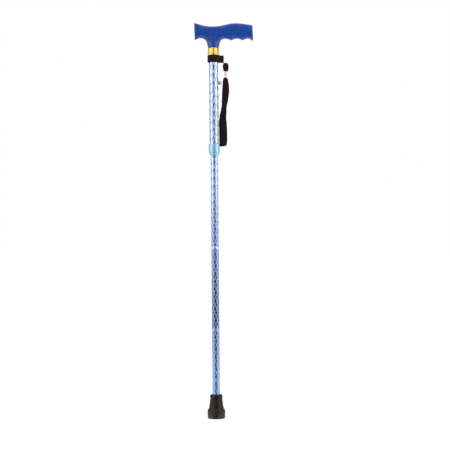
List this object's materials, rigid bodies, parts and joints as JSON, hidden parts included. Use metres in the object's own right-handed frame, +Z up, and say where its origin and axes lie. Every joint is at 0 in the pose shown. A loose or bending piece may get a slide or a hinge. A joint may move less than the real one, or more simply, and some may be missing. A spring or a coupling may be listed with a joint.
{
  "type": "telescopic folding walking stick",
  "caption": "Walking stick with a moulded handle, push-button height adjustment, lock collar, corded folding joints, wrist strap and rubber foot.",
  "frame": {"origin": "centre of the rubber foot's tread, on the ground", "axes": "+Z up the stick, +X towards the long end of the handle and the snap button"},
  "size_m": [0.1248, 0.0366, 0.8385],
  "materials": {
    "blue_moulding": "satin blue moulded plastic",
    "polished_brass": "polished",
    "pale_blue_anodising": "pale blue anodised, rolled lattice relief",
    "mid_blue_anodising": "blue anodised, rolled lattice relief",
    "bright_aluminium": "bright",
    "spring_steel": "plain",
    "copper_button": "copper coloured",
    "blue_collar_plastic": "translucent pale blue",
    "clear_plastic": "clear",
    "nylon": "white nylon",
    "black_webbing": "black woven webbing",
    "black_rubber": "matt",
    "elastic_braid": "braided elastic"
  },
  "bodies": {
    "upper_assembly": {"handle_grip": "blue_moulding", "handle_core": "nylon", "handle_pin": "spring_steel", "brass_ring": "polished_brass", "upper_tube": "pale_blue_anodising", "split_bush": "nylon"},
    "squeeze_ring": {"squeeze_ring": "nylon"},
    "lock_collar": {"lock_collar": "blue_collar_plastic"},
    "height_tube": {"inner_tube": "pale_blue_anodising", "glide_ring": "nylon", "button_spring": "spring_steel", "anchor_plug": "nylon", "anchor_pin": "spring_steel", "cord_stop_top": "bright_aluminium", "elastic_cord": "elastic_braid"},
    "snap_button": {"snap_button": "copper_button"},
    "section_2": {"joint_ring_1": "bright_aluminium", "tube_2": "pale_blue_anodising", "spigot_1": "bright_aluminium"},
    "section_3": {"joint_ring_2": "bright_aluminium", "tube_3": "mid_blue_anodising", "spigot_2": "bright_aluminium"},
    "section_4": {"joint_ring_3": "bright_aluminium", "tube_4": "mid_blue_anodising", "spigot_3": "bright_aluminium", "end_plug": "nylon", "cord_stop_bottom": "bright_aluminium", "ferrule_washer": "spring_steel", "ferrule": "black_rubber"},
    "strap_band": {"strap_band": "black_webbing"},
    "tether": {"tether_thread": "black_webbing", "tether_loop": "black_webbing"},
    "wrist_loop": {"link_cord": "clear_plastic", "clear_sleeve": "clear_plastic", "wrist_loop": "black_webbing"}
  },
  "joints": [
    {"name": "collar_drop", "type": "slide", "parent": "upper_assembly", "child": "squeeze_ring", "axis": [0, 0, -1], "range_m": [0, 0.0015]},
    {"name": "collar_turn", "type": "hinge", "parent": "squeeze_ring", "child": "lock_collar", "pos_m": [0, 0, 0.5572], "axis": [0, 0, -1], "range_deg": [0, 271]},
    {"name": "height_slide", "type": "slide", "parent": "upper_assembly", "child": "height_tube", "axis": [0, 0, -1], "range_m": [0, 0.1143]},
    {"name": "button_press", "type": "slide", "parent": "height_tube", "child": "snap_button", "axis": [-1, 0, 0], "range_m": [0, 0.0082], "stiffness_N_per_m": 300, "springref_m": -0.008, "deforming": ["button_spring"]},
    {"name": "pull_joint_1", "type": "slide", "parent": "height_tube", "child": "section_2", "axis": [0, 0, -1], "range_m": [0, 0.044], "stiffness_N_per_m": 100, "springref_m": -0.2, "deforming": ["elastic_cord"]},
    {"name": "pull_joint_2", "type": "slide", "parent": "section_2", "child": "section_3", "axis": [0, 0, -1], "range_m": [0, 0.044], "stiffness_N_per_m": 100, "springref_m": -0.2, "deforming": ["elastic_cord"]},
    {"name": "pull_joint_3", "type": "slide", "parent": "section_3", "child": "section_4", "axis": [0, 0, -1], "range_m": [0, 0.044], "stiffness_N_per_m": 100, "springref_m": -0.2, "deforming": ["elastic_cord"]},
    {"name": "band_turn", "type": "hinge", "parent": "upper_assembly", "child": "strap_band", "pos_m": [0, 0, 0.7552], "axis": [0, 0, 1], "continuous": true},
    {"name": "strap_swing", "type": "hinge", "parent": "strap_band", "child": "tether", "pos_m": [0.0196, 0.00725, 0.7567], "axis": [0.3469, -0.9379, 0], "range_deg": [0, 90]},
    {"name": "loop_swivel", "type": "hinge", "parent": "tether", "child": "wrist_loop", "pos_m": [0.0255, 0.0096, 0.7228], "axis": [0, 0, 1], "continuous": true}
  ],
  "couplings": [
    {"joint": "collar_turn", "follows": "collar_drop", "rad_per_m": 3141.6}
  ]
}
